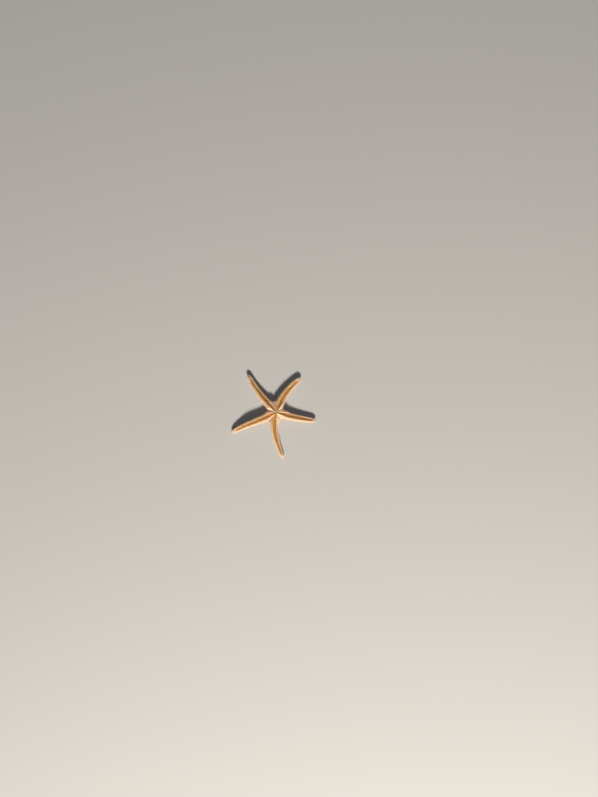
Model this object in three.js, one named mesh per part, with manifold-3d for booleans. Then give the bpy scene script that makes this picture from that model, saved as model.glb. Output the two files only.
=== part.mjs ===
// A common five-armed starfish, life size, lying on its back with the mouth side up.
// Units are millimetres and +Z is up. The origin is on the floor, right under the mouth.
// +Y points between the two back arms, and the front arm points towards -Y.
// The solids reach out to the tips of the spines. The animal is a still model with no joints.
import * as THREE from 'three';
import { mergeVertices } from 'three/addons/utils/BufferGeometryUtils.js';
import Module from 'manifold-3d';

const wasm = await Module();
wasm.setup();

// ---- Driving dimensions -------------------------------------------------------------------

// Each arm: its heading in degrees from +X at the mouth, halfway and at the tip, and its length
// from the mouth to the tip. Widths and heights are at the root and near the end, and taper is
// the power of the change between them. arch is how far the middle stands off the floor, tipLift
// how far the tip does, and roll turns the groove to the right (+) or left (-) as seen from the
// mouth.
const ARMS = [
  { name: 'front', heading: [-109, -78, -66], length: 50.2,
    width: [10.0, 4.6], height: [8.3, 4.6], taper: 1.0, arch: 0, tipLift: 0.5, roll: 0 },
  { name: 'right', heading: [-27, -11, -8], length: 41.5,
    width: [9.0, 5.9], height: [8.0, 4.9], taper: 1.6, arch: 0, tipLift: 1.3, roll: -14 },
  { name: 'back_right', heading: [74, 53, 34], length: 43.0,
    width: [9.6, 6.2], height: [8.0, 5.0], taper: 1.6, arch: 0, tipLift: 1.4, roll: 10 },
  { name: 'back_left', heading: [139, 128, 114], length: 47.5,
    width: [9.1, 6.0], height: [8.0, 5.0], taper: 1.4, arch: 0, tipLift: 1.5, roll: 18 },
  { name: 'left', heading: [213, 201.3, 214], length: 50.5,
    width: [9.2, 5.7], height: [8.5, 5.2], taper: 1.4, arch: 1.4, tipLift: 0, roll: -6 },
];
const ARM_END = 0.85; // share of the length at which the end width and height hold
const TIP_ROUND_FROM = 0.87; // share of the length where the tip starts to round off
const ARCH_FROM = 0.24; // share of the length where an arched arm leaves the floor
const ARCH_TO = 0.98; // and where it comes down again
const TIP_LIFT_FROM = 0.52; // share of the length where a raised tip leaves the floor
const ROLL_FROM = 0.03; // share of the length where the roll of an arm starts
const ROLL_FULL = 0.22; // and where it is complete
const SECTION_TOP = 0.44; // share of an arm's height above its widest level
const TOP_POWER = 2.1; // 2 is an ellipse, more is boxier
const BOTTOM_POWER = 2.3;
const FLAT_SINK = 0.28; // depth trimmed off the underside, which makes the small flats

const DISC_HEIGHT = 9.2;
const DISC_TOP_DIP = 0.9; // how far the mouth side dips towards the mouth
const DISC_ARM_REACH = 13.2; // how far the disc runs out under each arm's root
const WEB_FILLET = 3.6; // radius of the rounded corner between two arms
const WEB_SIDE = 4.5; // distance from an arm's line to where the corner's round starts
const DISC_CUT = 12.7; // distance from the mouth to the cut that parts an arm from the disc
const CUT = 0.3; // width of every parting cut

const GROOVE_SHARE = 0.42; // the groove's width as a share of the arm's
const GROOVE_DEPTH_SHARE = 0.19; // its depth as a share of the arm's height
const GROOVE_START = 1.2; // distance from the mouth's centre where the groove begins
const GROOVE_FULL = 12; // and where it has its full width
const GROOVE_MOUTH_WIDTH = 1.5;
const GROOVE_END_GAP = 2.6; // distance from the groove's end to the tip

const VALLEY_ENDS = [2.8, 10.8]; // distances from the mouth of the valley between two arms
const VALLEY_HEIGHTS = [8.0, 4.8]; // heights of its floor over the ground at those distances
const VALLEY_FLOOR = 0.7; // width of its floor
const VALLEY_SLOPE = 0.75; // how far each wall leans out for every millimetre of height
const VALLEY_RISE = 4; // height of the valley's cutter

const MOUTH_RADIUS = 1.7;
const MOUTH_DEPTH = 3.0;
const MOUTH_LIP = 0.9; // thickness of the skin round the mouth opening
const MADREPORITE_RADIUS = 1.15;
const MADREPORITE_THICKNESS = 0.9;
const MADREPORITE_DISTANCE = 6.3; // from the middle of the disc, on the underside
const EYE_RADIUS = 0.42;
const EYE_FROM_TIP = 1.5;
const EYE_HEIGHT_SHARE = 0.84; // of the height from the widest level to the top

const ARM_STATIONS = 16; // sections from the root to where the tip rounds off
const TIP_STATIONS = 6;
const SECTION_POINTS = 18; // points round an arm's section
const DISC_DIRECTIONS = 45;
const DISC_RINGS = 6; // rings on each side of the disc's edge
const LINE_STEPS = 200; // steps in following an arm's heading

// ---- Helpers -----------------------------------------------------------------------------

const radians = THREE.MathUtils.degToRad;
const mix = THREE.MathUtils.lerp;
const smooth = THREE.MathUtils.smoothstep;
const UP = new THREE.Vector3(0, 0, 1);

// A point of a rounded section: the side and height of angle turn on a superellipse.
function superellipse(turn, half, top, bottom) {
  const power = Math.sin(turn) > 0 ? TOP_POWER : BOTTOM_POWER;
  const rise = Math.sin(turn) > 0 ? top : bottom;
  const side = Math.sign(Math.cos(turn)) * Math.abs(Math.cos(turn)) ** (2 / power);
  const up = Math.sign(Math.sin(turn)) * Math.abs(Math.sin(turn)) ** (2 / power);
  return { side: half * side, up: rise * up };
}

// A closed geometry through rings of equally many points, with a fan over each end.
function loft(rings) {
  const count = rings[0].length;
  const points = rings.flat();
  const faces = [];
  for (let ring = 0; ring < rings.length - 1; ring += 1) {
    for (let i = 0; i < count; i += 1) {
      const here = ring * count + i;
      const next = ring * count + ((i + 1) % count);
      faces.push(here, next, here + count);
      faces.push(next, next + count, here + count);
    }
  }
  const last = (rings.length - 1) * count;
  const ends = [rings[0], rings[rings.length - 1]].map((ring) => {
    const middle = ring.reduce((sum, p) => sum.add(p), new THREE.Vector3());
    return points.push(middle.divideScalar(count)) - 1;
  });
  for (let i = 0; i < count; i += 1) {
    const next = (i + 1) % count;
    faces.push(ends[0], next, i);
    faces.push(ends[1], last + i, last + next);
  }
  const geometry = new THREE.BufferGeometry().setFromPoints(points);
  return geometry.setIndex(faces);
}

// The solid of a closed geometry, turned right side out if its faces point in.
function solid(geometry) {
  const bare = geometry.clone();
  bare.deleteAttribute('normal');
  bare.deleteAttribute('uv');
  const merged = mergeVertices(bare, 1e-4);
  const vertProperties = new Float32Array(merged.attributes.position.array);
  const triVerts = new Uint32Array(merged.index.array);
  const made = new wasm.Manifold(new wasm.Mesh({ numProp: 3, vertProperties, triVerts }));
  if (made.volume() > 0) return made;
  for (let i = 0; i < triVerts.length; i += 3) {
    [triVerts[i], triVerts[i + 1]] = [triVerts[i + 1], triVerts[i]];
  }
  return new wasm.Manifold(new wasm.Mesh({ numProp: 3, vertProperties, triVerts }));
}

const join = (solids) => solids.reduce((sum, next) => sum.add(next));

function meshOf(made, name, colour, roughness) {
  const { vertProperties, triVerts } = made.getMesh();
  const geometry = new THREE.BufferGeometry();
  geometry.setAttribute('position', new THREE.BufferAttribute(vertProperties, 3));
  geometry.setIndex(new THREE.BufferAttribute(triVerts, 1));
  geometry.computeVertexNormals();
  const material = new THREE.MeshStandardMaterial({ color: colour, roughness, metalness: 0 });
  const mesh = new THREE.Mesh(geometry, material);
  mesh.name = name;
  return mesh;
}

// A ball of the given radius, for an eyespot and its pocket.
function ball(radius, centre) {
  const geometry = new THREE.SphereGeometry(radius, 10, 6);
  return solid(geometry.translate(centre.x, centre.y, centre.z));
}

// A prism over a flat outline, tall enough to pass right through the animal.
function prism(outline) {
  const height = DISC_HEIGHT + 8;
  const geometry = new THREE.ExtrudeGeometry(new THREE.Shape(outline), {
    depth: height,
    bevelEnabled: false,
  });
  return solid(geometry.translate(0, 0, -2));
}

const planar = (angle, distance) =>
  new THREE.Vector2(distance * Math.cos(angle), distance * Math.sin(angle));

// ---- An arm's line and its sizes along it ---------------------------------------------------

function headingAt(arm, share) {
  const [root, middle, tip] = arm.heading;
  const bend = root * (1 - share) * (1 - 2 * share)
    + 4 * middle * share * (1 - share)
    + tip * share * (2 * share - 1);
  return radians(bend);
}

// The place and heading at a share of the arm's length, by following the heading from the mouth.
function placeAt(arm, share) {
  const steps = Math.max(1, Math.round(LINE_STEPS * share));
  const place = new THREE.Vector3();
  for (let i = 0; i < steps; i += 1) {
    const heading = headingAt(arm, ((i + 0.5) / steps) * share);
    const step = (share * arm.length) / steps;
    place.add(new THREE.Vector3(step * Math.cos(heading), step * Math.sin(heading), 0));
  }
  const heading = headingAt(arm, share);
  const along = new THREE.Vector3(Math.cos(heading), Math.sin(heading), 0);
  return { place, along, across: new THREE.Vector3().crossVectors(UP, along) };
}

const taperAt = (arm, share) => (Math.min(share, 1) / ARM_END) ** arm.taper;

function tipRoundAt(share) {
  const past = Math.max(0, (share - TIP_ROUND_FROM) / (1 - TIP_ROUND_FROM));
  return Math.sqrt(Math.max(0, 1 - past * past));
}

function liftAt(arm, share) {
  const span = (share - ARCH_FROM) / (ARCH_TO - ARCH_FROM);
  const inside = span > 0 && span < 1;
  const arch = inside ? arm.arch * Math.sin(Math.PI * span) ** 2 : 0;
  return arch + arm.tipLift * smooth(share, TIP_LIFT_FROM, 1.1);
}

// The sizes of an arm's section, and the height of its widest level over the floor.
function sizesAt(arm, share) {
  const width = mix(...arm.width, taperAt(arm, share));
  const height = mix(...arm.height, taperAt(arm, share));
  const round = tipRoundAt(share);
  const below = (1 - SECTION_TOP) * height;
  return {
    width: width * round,
    half: (width / 2) * round,
    top: SECTION_TOP * height * round,
    bottom: below * round,
    height,
    middle: liftAt(arm, share) + below * mix(0.62, 1, round) - FLAT_SINK,
  };
}

// A point of the arm's section, turned by its roll, in the part's frame.
function onSection(arm, share, side, up) {
  const { place, across } = placeAt(arm, share);
  const sizes = sizesAt(arm, share);
  const roll = radians(arm.roll) * smooth(share, ROLL_FROM, ROLL_FULL);
  const turnedSide = side * Math.cos(roll) - up * Math.sin(roll);
  const turnedUp = side * Math.sin(roll) + up * Math.cos(roll);
  return place
    .clone()
    .addScaledVector(across, turnedSide)
    .addScaledVector(UP, sizes.middle + turnedUp);
}

// ---- The body in one piece ------------------------------------------------------------------

function armShares() {
  const start = 0.06;
  const shares = [];
  for (let i = 0; i < ARM_STATIONS; i += 1) {
    shares.push(mix(start, TIP_ROUND_FROM, i / ARM_STATIONS));
  }
  for (let i = 0; i <= TIP_STATIONS; i += 1) {
    const past = Math.sin((i / TIP_STATIONS) * 0.49 * Math.PI);
    shares.push(mix(TIP_ROUND_FROM, 1, past));
  }
  return shares;
}

function armBody(arm) {
  const rings = armShares().map((share) => {
    const { half, top, bottom } = sizesAt(arm, share);
    const ring = [];
    for (let i = 0; i < SECTION_POINTS; i += 1) {
      const turn = (2 * Math.PI * i) / SECTION_POINTS;
      const { side, up } = superellipse(turn, half, top, bottom);
      ring.push(onSection(arm, share, side, up));
    }
    return ring;
  });
  return solid(loft(rings));
}

// Where the grooves of the mouth side run: a channel with sloping walls and a rounded floor.
function grooveCutter(arm) {
  const first = GROOVE_START / arm.length;
  const last = 1 - GROOVE_END_GAP / arm.length;
  const rings = [];
  for (let i = 0; i <= ARM_STATIONS; i += 1) {
    const share = mix(first, last, i / ARM_STATIONS);
    const sizes = sizesAt(arm, share);
    const opened = smooth(share * arm.length, GROOVE_START, GROOVE_FULL);
    const fade = 1 - smooth(share, 0.8, 1) * 0.5;
    const half = mix(GROOVE_MOUTH_WIDTH, GROOVE_SHARE * sizes.width, opened) / 2;
    const depth = GROOVE_DEPTH_SHARE * sizes.height * fade;
    const outline = [[1.5, 3], [1, 0], [0.82, -0.6 * depth], [0.45, -depth]];
    const right = outline.map(([out, up]) => onSection(arm, share, -half * out, sizes.top + up));
    const left = outline.map(([out, up]) => onSection(arm, share, half * out, sizes.top + up));
    rings.push([...left, ...right.reverse()]);
  }
  return solid(loft(rings));
}

const rootHeading = (arm) => {
  const { place } = placeAt(arm, DISC_CUT / arm.length);
  return Math.atan2(place.y, place.x);
};

// The directions of the corners between each arm and the next one round the disc.
const headings = ARMS.map(rootHeading);
const corners = headings.map((heading, i) => {
  const next = headings[(i + 1) % headings.length];
  const gap = (next - heading + 2 * Math.PI) % (2 * Math.PI);
  return { direction: heading + gap / 2, halfGap: gap / 2 };
});

// How far the disc's edge lies from the mouth in a direction: round the fillet of a corner
// between two arms, and then along the side of an arm's root.
function discReach(direction) {
  const wrap = (angle) => Math.abs(Math.atan2(Math.sin(angle), Math.cos(angle)));
  const corner = corners.reduce((best, next) =>
    wrap(direction - next.direction) < wrap(direction - best.direction) ? next : best);
  const off = wrap(direction - corner.direction);
  const fromArm = Math.max(0, corner.halfGap - off);
  const centre = (WEB_SIDE + WEB_FILLET) / Math.sin(corner.halfGap);
  const tangent = Math.atan2(WEB_SIDE, centre * Math.cos(corner.halfGap));
  if (fromArm < tangent) return Math.min(WEB_SIDE / Math.sin(fromArm + 1e-6), DISC_ARM_REACH);
  const chord = Math.sqrt(WEB_FILLET ** 2 - (centre * Math.sin(off)) ** 2);
  return Math.min(centre * Math.cos(off) - chord, DISC_ARM_REACH);
}

function discBody() {
  const rings = [];
  const top = DISC_HEIGHT * SECTION_TOP;
  const bottom = DISC_HEIGHT - top;
  for (let ring = 1 - DISC_RINGS; ring < DISC_RINGS; ring += 1) {
    const turn = (ring / DISC_RINGS) * (Math.PI / 2);
    const { side, up } = superellipse(turn, 1, top, bottom);
    const dip = ring > 0 ? DISC_TOP_DIP * (1 - side) : 0;
    const points = [];
    for (let i = 0; i < DISC_DIRECTIONS; i += 1) {
      const direction = (2 * Math.PI * i) / DISC_DIRECTIONS;
      const flat = planar(direction, discReach(direction) * side);
      points.push(new THREE.Vector3(flat.x, flat.y, bottom - FLAT_SINK + up - dip));
    }
    rings.push(points);
  }
  return solid(loft(rings));
}

function mouthCutter() {
  const rim = DISC_HEIGHT - FLAT_SINK - DISC_TOP_DIP;
  const profile = [
    [0, rim - MOUTH_DEPTH],
    [0.6 * MOUTH_RADIUS, rim - MOUTH_DEPTH],
    [0.85 * MOUTH_RADIUS, rim - 0.6 * MOUTH_DEPTH],
    [MOUTH_RADIUS, rim - 0.25 * MOUTH_DEPTH],
    [1.5 * MOUTH_RADIUS, rim + 0.2],
    [2.1 * MOUTH_RADIUS, rim + 3],
    [0, rim + 3],
  ].map(([x, y]) => new THREE.Vector2(x, y));
  return solid(new THREE.LatheGeometry(profile, 20).rotateX(Math.PI / 2));
}

// The valley on the mouth side between two arms, which falls outwards from the mouth.
function valleyCutter({ direction }) {
  const foot = VALLEY_FLOOR / 2;
  const brim = foot + VALLEY_SLOPE * VALLEY_RISE;
  const outline = [[-brim, VALLEY_RISE], [-foot, 0], [foot, 0], [brim, VALLEY_RISE]];
  const rings = VALLEY_ENDS.map((distance, end) => {
    const out = planar(direction, distance);
    return outline.map(([side, up]) => {
      const flat = planar(direction + Math.PI / 2, side).add(out);
      return new THREE.Vector3(flat.x, flat.y, VALLEY_HEIGHTS[end] + up);
    });
  });
  return solid(loft(rings));
}

function aboveFloor() {
  const size = 4 * Math.max(...ARMS.map((arm) => arm.length));
  return solid(new THREE.BoxGeometry(size, size, size).translate(0, 0, size / 2));
}

// ---- The parting cuts -----------------------------------------------------------------------

// The outline of the disc's region, whose straight sides face the arms.
function discOutline() {
  return corners.map(({ direction, halfGap }) => planar(direction, DISC_CUT / Math.cos(halfGap)));
}

function armRegion(index) {
  const before = corners[(index + corners.length - 1) % corners.length];
  const after = corners[index];
  const near = DISC_CUT + CUT;
  const far = 2 * ARMS[index].length;
  return prism([
    planar(before.direction, near / Math.cos(before.halfGap)),
    planar(before.direction, far),
    planar(headings[index], far),
    planar(after.direction, far),
    planar(after.direction, near / Math.cos(after.halfGap)),
  ]);
}

// ---- The small parts ------------------------------------------------------------------------

// The soft ring of skin that closes the mouth funnel, with the mouth's opening in it.
function mouthRing() {
  const rim = DISC_HEIGHT - FLAT_SINK - DISC_TOP_DIP;
  const floor = rim - MOUTH_DEPTH + CUT;
  const outer = 0.6 * MOUTH_RADIUS - CUT;
  const profile = [
    [0.16, floor],
    [outer, floor],
    [outer, floor + 0.6 * MOUTH_LIP],
    [0.7 * outer, floor + MOUTH_LIP],
    [0.26, floor + 0.8 * MOUTH_LIP],
    [0.16, floor],
  ].map(([x, y]) => new THREE.Vector2(x, y));
  return solid(new THREE.LatheGeometry(profile, 16).rotateX(Math.PI / 2));
}

// The sieve plate, a low button on the underside between the left arm and the back left arm.
const madreporiteDirection = corners[3].direction;

function madreporiteShape(radius, thickness) {
  const profile = [
    [0, -thickness],
    [0.8 * radius, -thickness],
    [radius, -0.6 * thickness],
    [radius, 0],
    [0, 0],
  ].map(([x, y]) => new THREE.Vector2(x, y));
  const geometry = new THREE.LatheGeometry(profile, 16).rotateX(Math.PI / 2);
  const bottom = DISC_HEIGHT * (1 - SECTION_TOP);
  const share = MADREPORITE_DISTANCE / discReach(madreporiteDirection);
  const drop = bottom * (1 - (1 - share ** BOTTOM_POWER) ** (1 / BOTTOM_POWER));
  const tilt = Math.atan2(1.5 * drop, MADREPORITE_DISTANCE);
  const flat = planar(madreporiteDirection, MADREPORITE_DISTANCE);
  geometry.rotateY(-tilt).rotateZ(madreporiteDirection);
  return solid(geometry.translate(flat.x, flat.y, drop - FLAT_SINK + 0.75));
}

const eyeCentre = (arm) => {
  const share = 1 - EYE_FROM_TIP / arm.length;
  return onSection(arm, share, 0, sizesAt(arm, share).top * EYE_HEIGHT_SHARE);
};

// ---- The starfish -----------------------------------------------------------------------------

const CREAM = 0xe9b987;
const ORANGE = 0xc9792b;
const SIEVE = 0xf0843a;
const EYE_RED = 0x8e1f14;

const channels = join([...ARMS.map(grooveCutter), ...corners.map(valleyCutter)]);
const body = join([discBody(), ...ARMS.map(armBody)])
  .subtract(channels)
  .subtract(mouthCutter())
  .intersect(aboveFloor());

const starfish = new THREE.Group();

const disc = body
  .intersect(prism(discOutline()))
  .subtract(madreporiteShape(MADREPORITE_RADIUS + CUT, MADREPORITE_THICKNESS + 3));
starfish.add(meshOf(disc, 'disc', CREAM, 0.6));
starfish.add(meshOf(mouthRing(), 'mouth', ORANGE, 0.4));
const madreporite = madreporiteShape(MADREPORITE_RADIUS, MADREPORITE_THICKNESS);
starfish.add(meshOf(madreporite, 'madreporite', SIEVE, 0.5));

ARMS.forEach((arm, index) => {
  const pocket = ball(EYE_RADIUS + CUT, eyeCentre(arm));
  const piece = body.intersect(armRegion(index)).subtract(pocket);
  starfish.add(meshOf(piece, `arm_${arm.name}`, CREAM, 0.6));
  starfish.add(meshOf(ball(EYE_RADIUS, eyeCentre(arm)), `eye_${arm.name}`, EYE_RED, 0.3));
});

export default starfish;
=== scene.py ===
# A common five-armed starfish, life size, lying on its back with the mouth side up.
# The CAD solids reach out to the tips of the spines. The skin made here lies inside them by the
# depth of the coat, and the spines, tube feet and gills grow from it.
import math

import bmesh
import bpy
import numpy as np
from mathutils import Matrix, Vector
from mathutils.bvhtree import BVHTree
from mathutils.kdtree import KDTree


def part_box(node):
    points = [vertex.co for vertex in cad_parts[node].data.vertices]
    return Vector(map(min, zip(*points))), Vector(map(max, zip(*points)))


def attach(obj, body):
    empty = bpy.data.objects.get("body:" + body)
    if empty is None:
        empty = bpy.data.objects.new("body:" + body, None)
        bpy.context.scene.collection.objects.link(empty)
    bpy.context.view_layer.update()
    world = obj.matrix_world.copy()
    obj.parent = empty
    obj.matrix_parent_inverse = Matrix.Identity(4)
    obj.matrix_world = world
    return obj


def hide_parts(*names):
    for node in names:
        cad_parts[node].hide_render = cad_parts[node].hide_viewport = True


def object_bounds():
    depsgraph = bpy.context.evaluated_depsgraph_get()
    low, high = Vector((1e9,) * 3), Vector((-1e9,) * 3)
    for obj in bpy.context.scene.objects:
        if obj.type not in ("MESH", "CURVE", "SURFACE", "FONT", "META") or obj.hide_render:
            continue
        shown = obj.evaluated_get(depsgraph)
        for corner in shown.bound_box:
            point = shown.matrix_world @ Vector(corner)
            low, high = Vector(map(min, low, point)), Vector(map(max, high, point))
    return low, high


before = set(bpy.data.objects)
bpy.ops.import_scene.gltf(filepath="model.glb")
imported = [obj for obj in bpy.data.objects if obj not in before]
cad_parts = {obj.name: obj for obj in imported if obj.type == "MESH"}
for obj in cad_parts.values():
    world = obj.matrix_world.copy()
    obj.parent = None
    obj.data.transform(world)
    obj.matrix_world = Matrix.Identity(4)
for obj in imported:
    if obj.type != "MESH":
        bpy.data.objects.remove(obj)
cad_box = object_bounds()
random = np.random.default_rng(7)

# ---- Driving dimensions, in millimetres unless they say otherwise -----------------------------

MM = 0.001

# The same arms as in the CAD: headings in degrees at the mouth, halfway and at the tip.
ARMS = {
    "front": dict(heading=(-109, -78, -66), length=50.2, width=(10.0, 4.6),
                  height=(8.3, 4.6), taper=1.0, arch=0.0, tip_lift=0.5, roll=0),
    "right": dict(heading=(-27, -11, -8), length=41.5, width=(9.0, 5.9),
                  height=(8.0, 4.9), taper=1.6, arch=0.0, tip_lift=1.3, roll=-14),
    "back_right": dict(heading=(74, 53, 34), length=43.0, width=(9.6, 6.2),
                       height=(8.0, 5.0), taper=1.6, arch=0.0, tip_lift=1.4, roll=10),
    "back_left": dict(heading=(139, 128, 114), length=47.5, width=(9.1, 6.0),
                      height=(8.0, 5.0), taper=1.4, arch=0.0, tip_lift=1.5, roll=18),
    "left": dict(heading=(213, 201.3, 214), length=50.5, width=(9.2, 5.7),
                 height=(8.5, 5.2), taper=1.4, arch=1.4, tip_lift=0.0, roll=-6),
}
ARM_END = 0.85
TIP_ROUND_FROM = 0.87
ARCH_FROM, ARCH_TO = 0.24, 0.98
TIP_LIFT_FROM, TIP_LIFT_TO = 0.52, 1.1
TIP_DROP = 0.62         # an arm's middle line sinks to this share of its height at the tip
ROLL_FROM, ROLL_FULL = 0.03, 0.22
SECTION_TOP = 0.44
TOP_POWER, BOTTOM_POWER = 2.1, 2.3
FLAT_SINK = 0.28
DISC_HEIGHT = 9.2
DISC_TOP_DIP = 0.9
DISC_ARM_REACH = 13.2
DISC_CUT = 12.7
WEB_FILLET, WEB_SIDE = 3.6, 4.5
VALLEY_ENDS, VALLEY_HEIGHTS = (2.8, 10.8), (8.0, 4.8)
VALLEY_FLOOR, VALLEY_SLOPE = 0.7, 0.75

COAT = 0.72             # how deep the skin lies under the tips of the coat
SKIN_VOXEL = 0.255      # the size of the skin's faces
ROUGH_VOXEL = 0.42      # the same while its pieces are being fused
GROOVE_SHARE = 0.40     # the groove's width as a share of the arm's
GROOVE_DEPTH = 0.25     # its depth as a share of the arm's height
GROOVE_END_GAP = 3.8    # from the groove's end to the arm's tip
GROOVE_RUN_OUT = 0.06   # the share of the arm's length over which its end grows shallow
GROOVE_MOUTH_WIDTH = 1.5
GROOVE_OPENS, GROOVE_FULL = 1.2, 12.0   # its width grows between these distances from the mouth
GROOVE_POWER = 2.6      # how flat its floor is across
RIM_FALL = 0.12         # how much lower the uncut top is at the groove's edge, as a share
MOUTH_RADIUS, MOUTH_DEPTH = 1.3, 1.3
MOUTH_HOLE_RADIUS, MOUTH_HOLE_DEPTH = 0.32, 0.9
MOUTH_PALE = (2.4, 4.4)  # the brown of the grooves begins between these distances from the mouth
MOUTH_SIDE = DISC_HEIGHT * 0.4      # what is higher than this is on the disc's mouth side
DISC_HEART = DISC_HEIGHT * 0.33     # the height at which rays to the disc's skin start
SIEVE_HEART = DISC_HEIGHT * 0.45    # and that of the ray to the sieve plate

GROOVE_SPINE_PITCH = 0.62
MARGIN_PITCH = 0.95
BACK_PITCH = 1.0
FOOT_PITCH = 0.86
GILL_PITCH = 0.8
CHART_SCALE = 1 / 118   # of the skin's unwrap, in map widths for each millimetre
PATCH = 0.003           # how wide a spine's patch is on the unwrap
FLOOR_GAP = 0.03        # the least height of a tip over the floor
CEILING = float(cad_box[1][2]) / MM - 0.12   # and the greatest
HEART = 0.4             # rays start this share of the way from an arm's middle to its underside

# ---- Small helpers --------------------------------------------------------------------------


def smooth(value, low, high):
    share = np.clip((np.asarray(value, float) - low) / (high - low), 0, 1)
    return share * share * (3 - 2 * share)


def mix(a, b, share):
    return a + (b - a) * share


def unit(vectors):
    return vectors / np.maximum(np.linalg.norm(vectors, axis=-1, keepdims=True), 1e-9)


def colour(red, green, blue):
    """A screen colour, 0 to 255, as the linear colour that a material takes."""
    parts = [c / 255 for c in (red, green, blue)]
    parts = [c / 12.92 if c < 0.04045 else ((c + 0.055) / 1.055) ** 2.4 for c in parts]
    return (*parts, 1.0)


def deselect():
    for ob in bpy.context.selected_objects:
        ob.select_set(False)


def activate(ob):
    deselect()
    ob.select_set(True)
    bpy.context.view_layer.objects.active = ob


def apply_modifier(ob, kind, **settings):
    activate(ob)
    modifier = ob.modifiers.new(kind.title(), kind)
    for name, value in settings.items():
        setattr(modifier, name, value)
    bpy.ops.object.modifier_apply(modifier=modifier.name)


def points_of(ob):
    """The vertices of a piece, in millimetres."""
    found = np.empty(len(ob.data.vertices) * 3)
    ob.data.vertices.foreach_get("co", found)
    return found.reshape(-1, 3) / MM


def set_points(ob, points):
    ob.data.vertices.foreach_set("co", (points * MM).ravel())
    ob.data.update()


def normals_of(ob):
    found = np.empty(len(ob.data.vertices) * 3)
    ob.data.vertex_normals.foreach_get("vector", found)
    return found.reshape(-1, 3)


def set_attribute(ob, name, values):
    layer = ob.data.attributes.new(name, "FLOAT", "POINT")
    layer.data.foreach_set("value", np.asarray(values, np.float32))


def level(flat):
    """Flat points or directions with no height."""
    return np.concatenate([flat, np.zeros((len(flat), 1))], -1)


def ring(turn, radius, height):
    """Points round the upright axis."""
    height = np.full(len(turn), height, float)
    return np.stack([np.cos(turn) * radius, np.sin(turn) * radius, height], -1)


def side_axes(growth):
    """Two directions square to each direction of growth and to each other."""
    steep = np.abs(growth[..., 2:3]) >= 0.9
    first = unit(np.cross(growth, np.where(steep, (1.0, 0.0, 0.0), (0.0, 0.0, 1.0))))
    return first, np.cross(growth, first)


def nearest_distance(points, places):
    """How far each point is from the nearest of the places."""
    held = KDTree(len(places))
    for number, place in enumerate(places):
        held.insert(place, number)
    held.balance()
    return np.array([held.find(point)[2] for point in points])


# ---- An arm's line and sections ---------------------------------------------------------------

LINE_STEPS = 240
PAST_TIP = 1.02         # the furthest share of its length at which an arm is read
BATCH = 20000           # so many points are looked up at once


def follow_heading(arm):
    """The arm's line from the mouth to the tip, with its heading at each step."""
    share = np.linspace(0, 1, LINE_STEPS + 1)
    root, middle, tip = arm["heading"]
    heading = np.radians(
        root * (1 - share) * (1 - 2 * share)
        + 4 * middle * share * (1 - share)
        + tip * share * (2 * share - 1)
    )
    between = (heading[1:] + heading[:-1]) / 2
    step = arm["length"] / LINE_STEPS
    x = np.concatenate([[0], np.cumsum(np.cos(between) * step)])
    y = np.concatenate([[0], np.cumsum(np.sin(between) * step)])
    return dict(share=share, x=x, y=y, heading=heading)


for arm in ARMS.values():
    arm["line"] = follow_heading(arm)
ARM_LIST = list(ARMS.values())


def section(arm, share):
    """The sizes, place and axes of the arm's section at a share of its length."""
    share = np.asarray(share, float)
    line = arm["line"]
    place = np.stack([np.interp(share, line["share"], line[k]) for k in "xy"], -1)
    heading = np.interp(share, line["share"], line["heading"])
    taper = (np.clip(share, 0, 1) / ARM_END) ** arm["taper"]
    width, height = mix(*arm["width"], taper), mix(*arm["height"], taper)
    past = np.clip((share - TIP_ROUND_FROM) / (1 - TIP_ROUND_FROM), 0, 1)
    outer_round = np.sqrt(1 - past**2)
    skin_end = 1 - COAT / arm["length"]
    past = np.clip((share - TIP_ROUND_FROM) / (skin_end - TIP_ROUND_FROM), 0, 1)
    skin_round = np.sqrt(1 - past**2)
    span = np.clip((share - ARCH_FROM) / (ARCH_TO - ARCH_FROM), 0, 1)
    lift = arm["arch"] * np.sin(np.pi * span) ** 2
    lift = lift + arm["tip_lift"] * smooth(share, TIP_LIFT_FROM, TIP_LIFT_TO)
    below = (1 - SECTION_TOP) * height
    return dict(
        place=place,
        along=np.stack([np.cos(heading), np.sin(heading)], -1),
        across=np.stack([-np.sin(heading), np.cos(heading)], -1),
        roll=np.radians(arm["roll"]) * smooth(share, ROLL_FROM, ROLL_FULL),
        width=width * outer_round,
        height=height,
        half=(width / 2 - COAT) * skin_round,
        top=(SECTION_TOP * height - COAT) * skin_round,
        bottom=(below - COAT) * skin_round,
        middle=lift + below * mix(TIP_DROP, 1, outer_round) - FLAT_SINK,
        length=np.full(share.shape, arm["length"]),
    )


def rolled(at, side, up):
    """A side and a height turned by the arm's roll."""
    cos, sin = np.cos(at["roll"]), np.sin(at["roll"])
    return side * cos - up * sin, side * sin + up * cos


def place_on(at, side, up):
    """A point of a section, from its side and height before the arm's roll."""
    side, up = rolled(at, side, up)
    flat = at["place"] + at["across"] * side[..., None]
    return np.concatenate([flat, (at["middle"] + up)[..., None]], -1)


def direction_on(at, side, up):
    """A direction across a section, from its side and height before the arm's roll."""
    side, up = rolled(at, side, up)
    return unit(np.concatenate([at["across"] * side[..., None], up[..., None]], -1))


def superellipse(turn, half, top, bottom):
    power = np.where(np.sin(turn) > 0, TOP_POWER, BOTTOM_POWER)
    rise = np.where(np.sin(turn) > 0, top, bottom)
    side = np.sign(np.cos(turn)) * np.abs(np.cos(turn)) ** (2 / power)
    up = np.sign(np.sin(turn)) * np.abs(np.sin(turn)) ** (2 / power)
    return half * side, rise * up


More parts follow.
